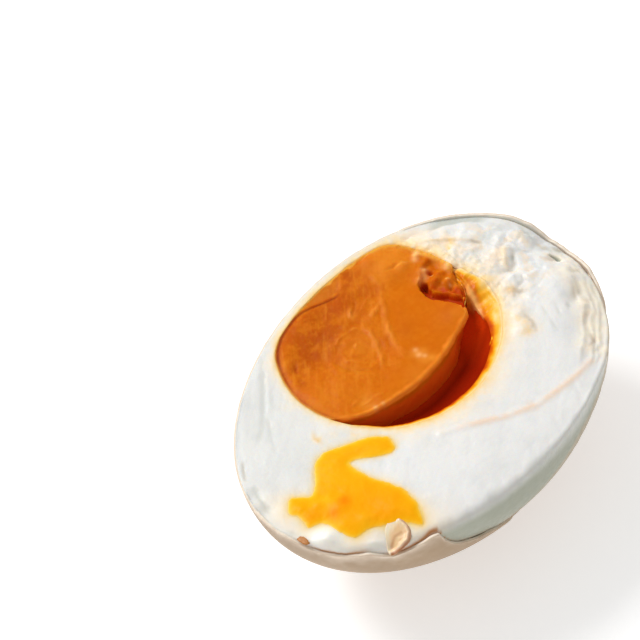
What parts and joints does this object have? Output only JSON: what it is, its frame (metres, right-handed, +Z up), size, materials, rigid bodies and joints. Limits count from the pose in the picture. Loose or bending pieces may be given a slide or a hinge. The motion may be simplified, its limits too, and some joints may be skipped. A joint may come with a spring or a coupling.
{
  "type": "salted duck egg half",
  "caption": "Half of a salted duck egg in its shell, cut lengthwise: firm white, orange yolk core with a dark runny rim, and a spill of runny yolk on the white.",
  "frame": {"origin": "middle of the foot of the half egg's box, on the surface it rests on", "axes": "+X along the egg's length towards the blunt end, +Y towards the side where the yolk touches the shell, +Z up out of the cut face"},
  "size_m": [0.0618, 0.046, 0.0241],
  "materials": {
    "shell": "matt eggshell, pale grey-green outside with a tan cast",
    "egg_white": "moist satin, slightly translucent",
    "yolk": "oily satin, firm and slightly grainy",
    "soft_yolk": "wet gloss, dark and runny",
    "yolk_spill": "wet gloss, runny"
  },
  "bodies": {
    "root": {"shell": "shell", "egg_white": "egg_white", "yolk": "yolk", "soft_yolk": "soft_yolk", "yolk_spill": "yolk_spill"}
  },
  "joints": []
}
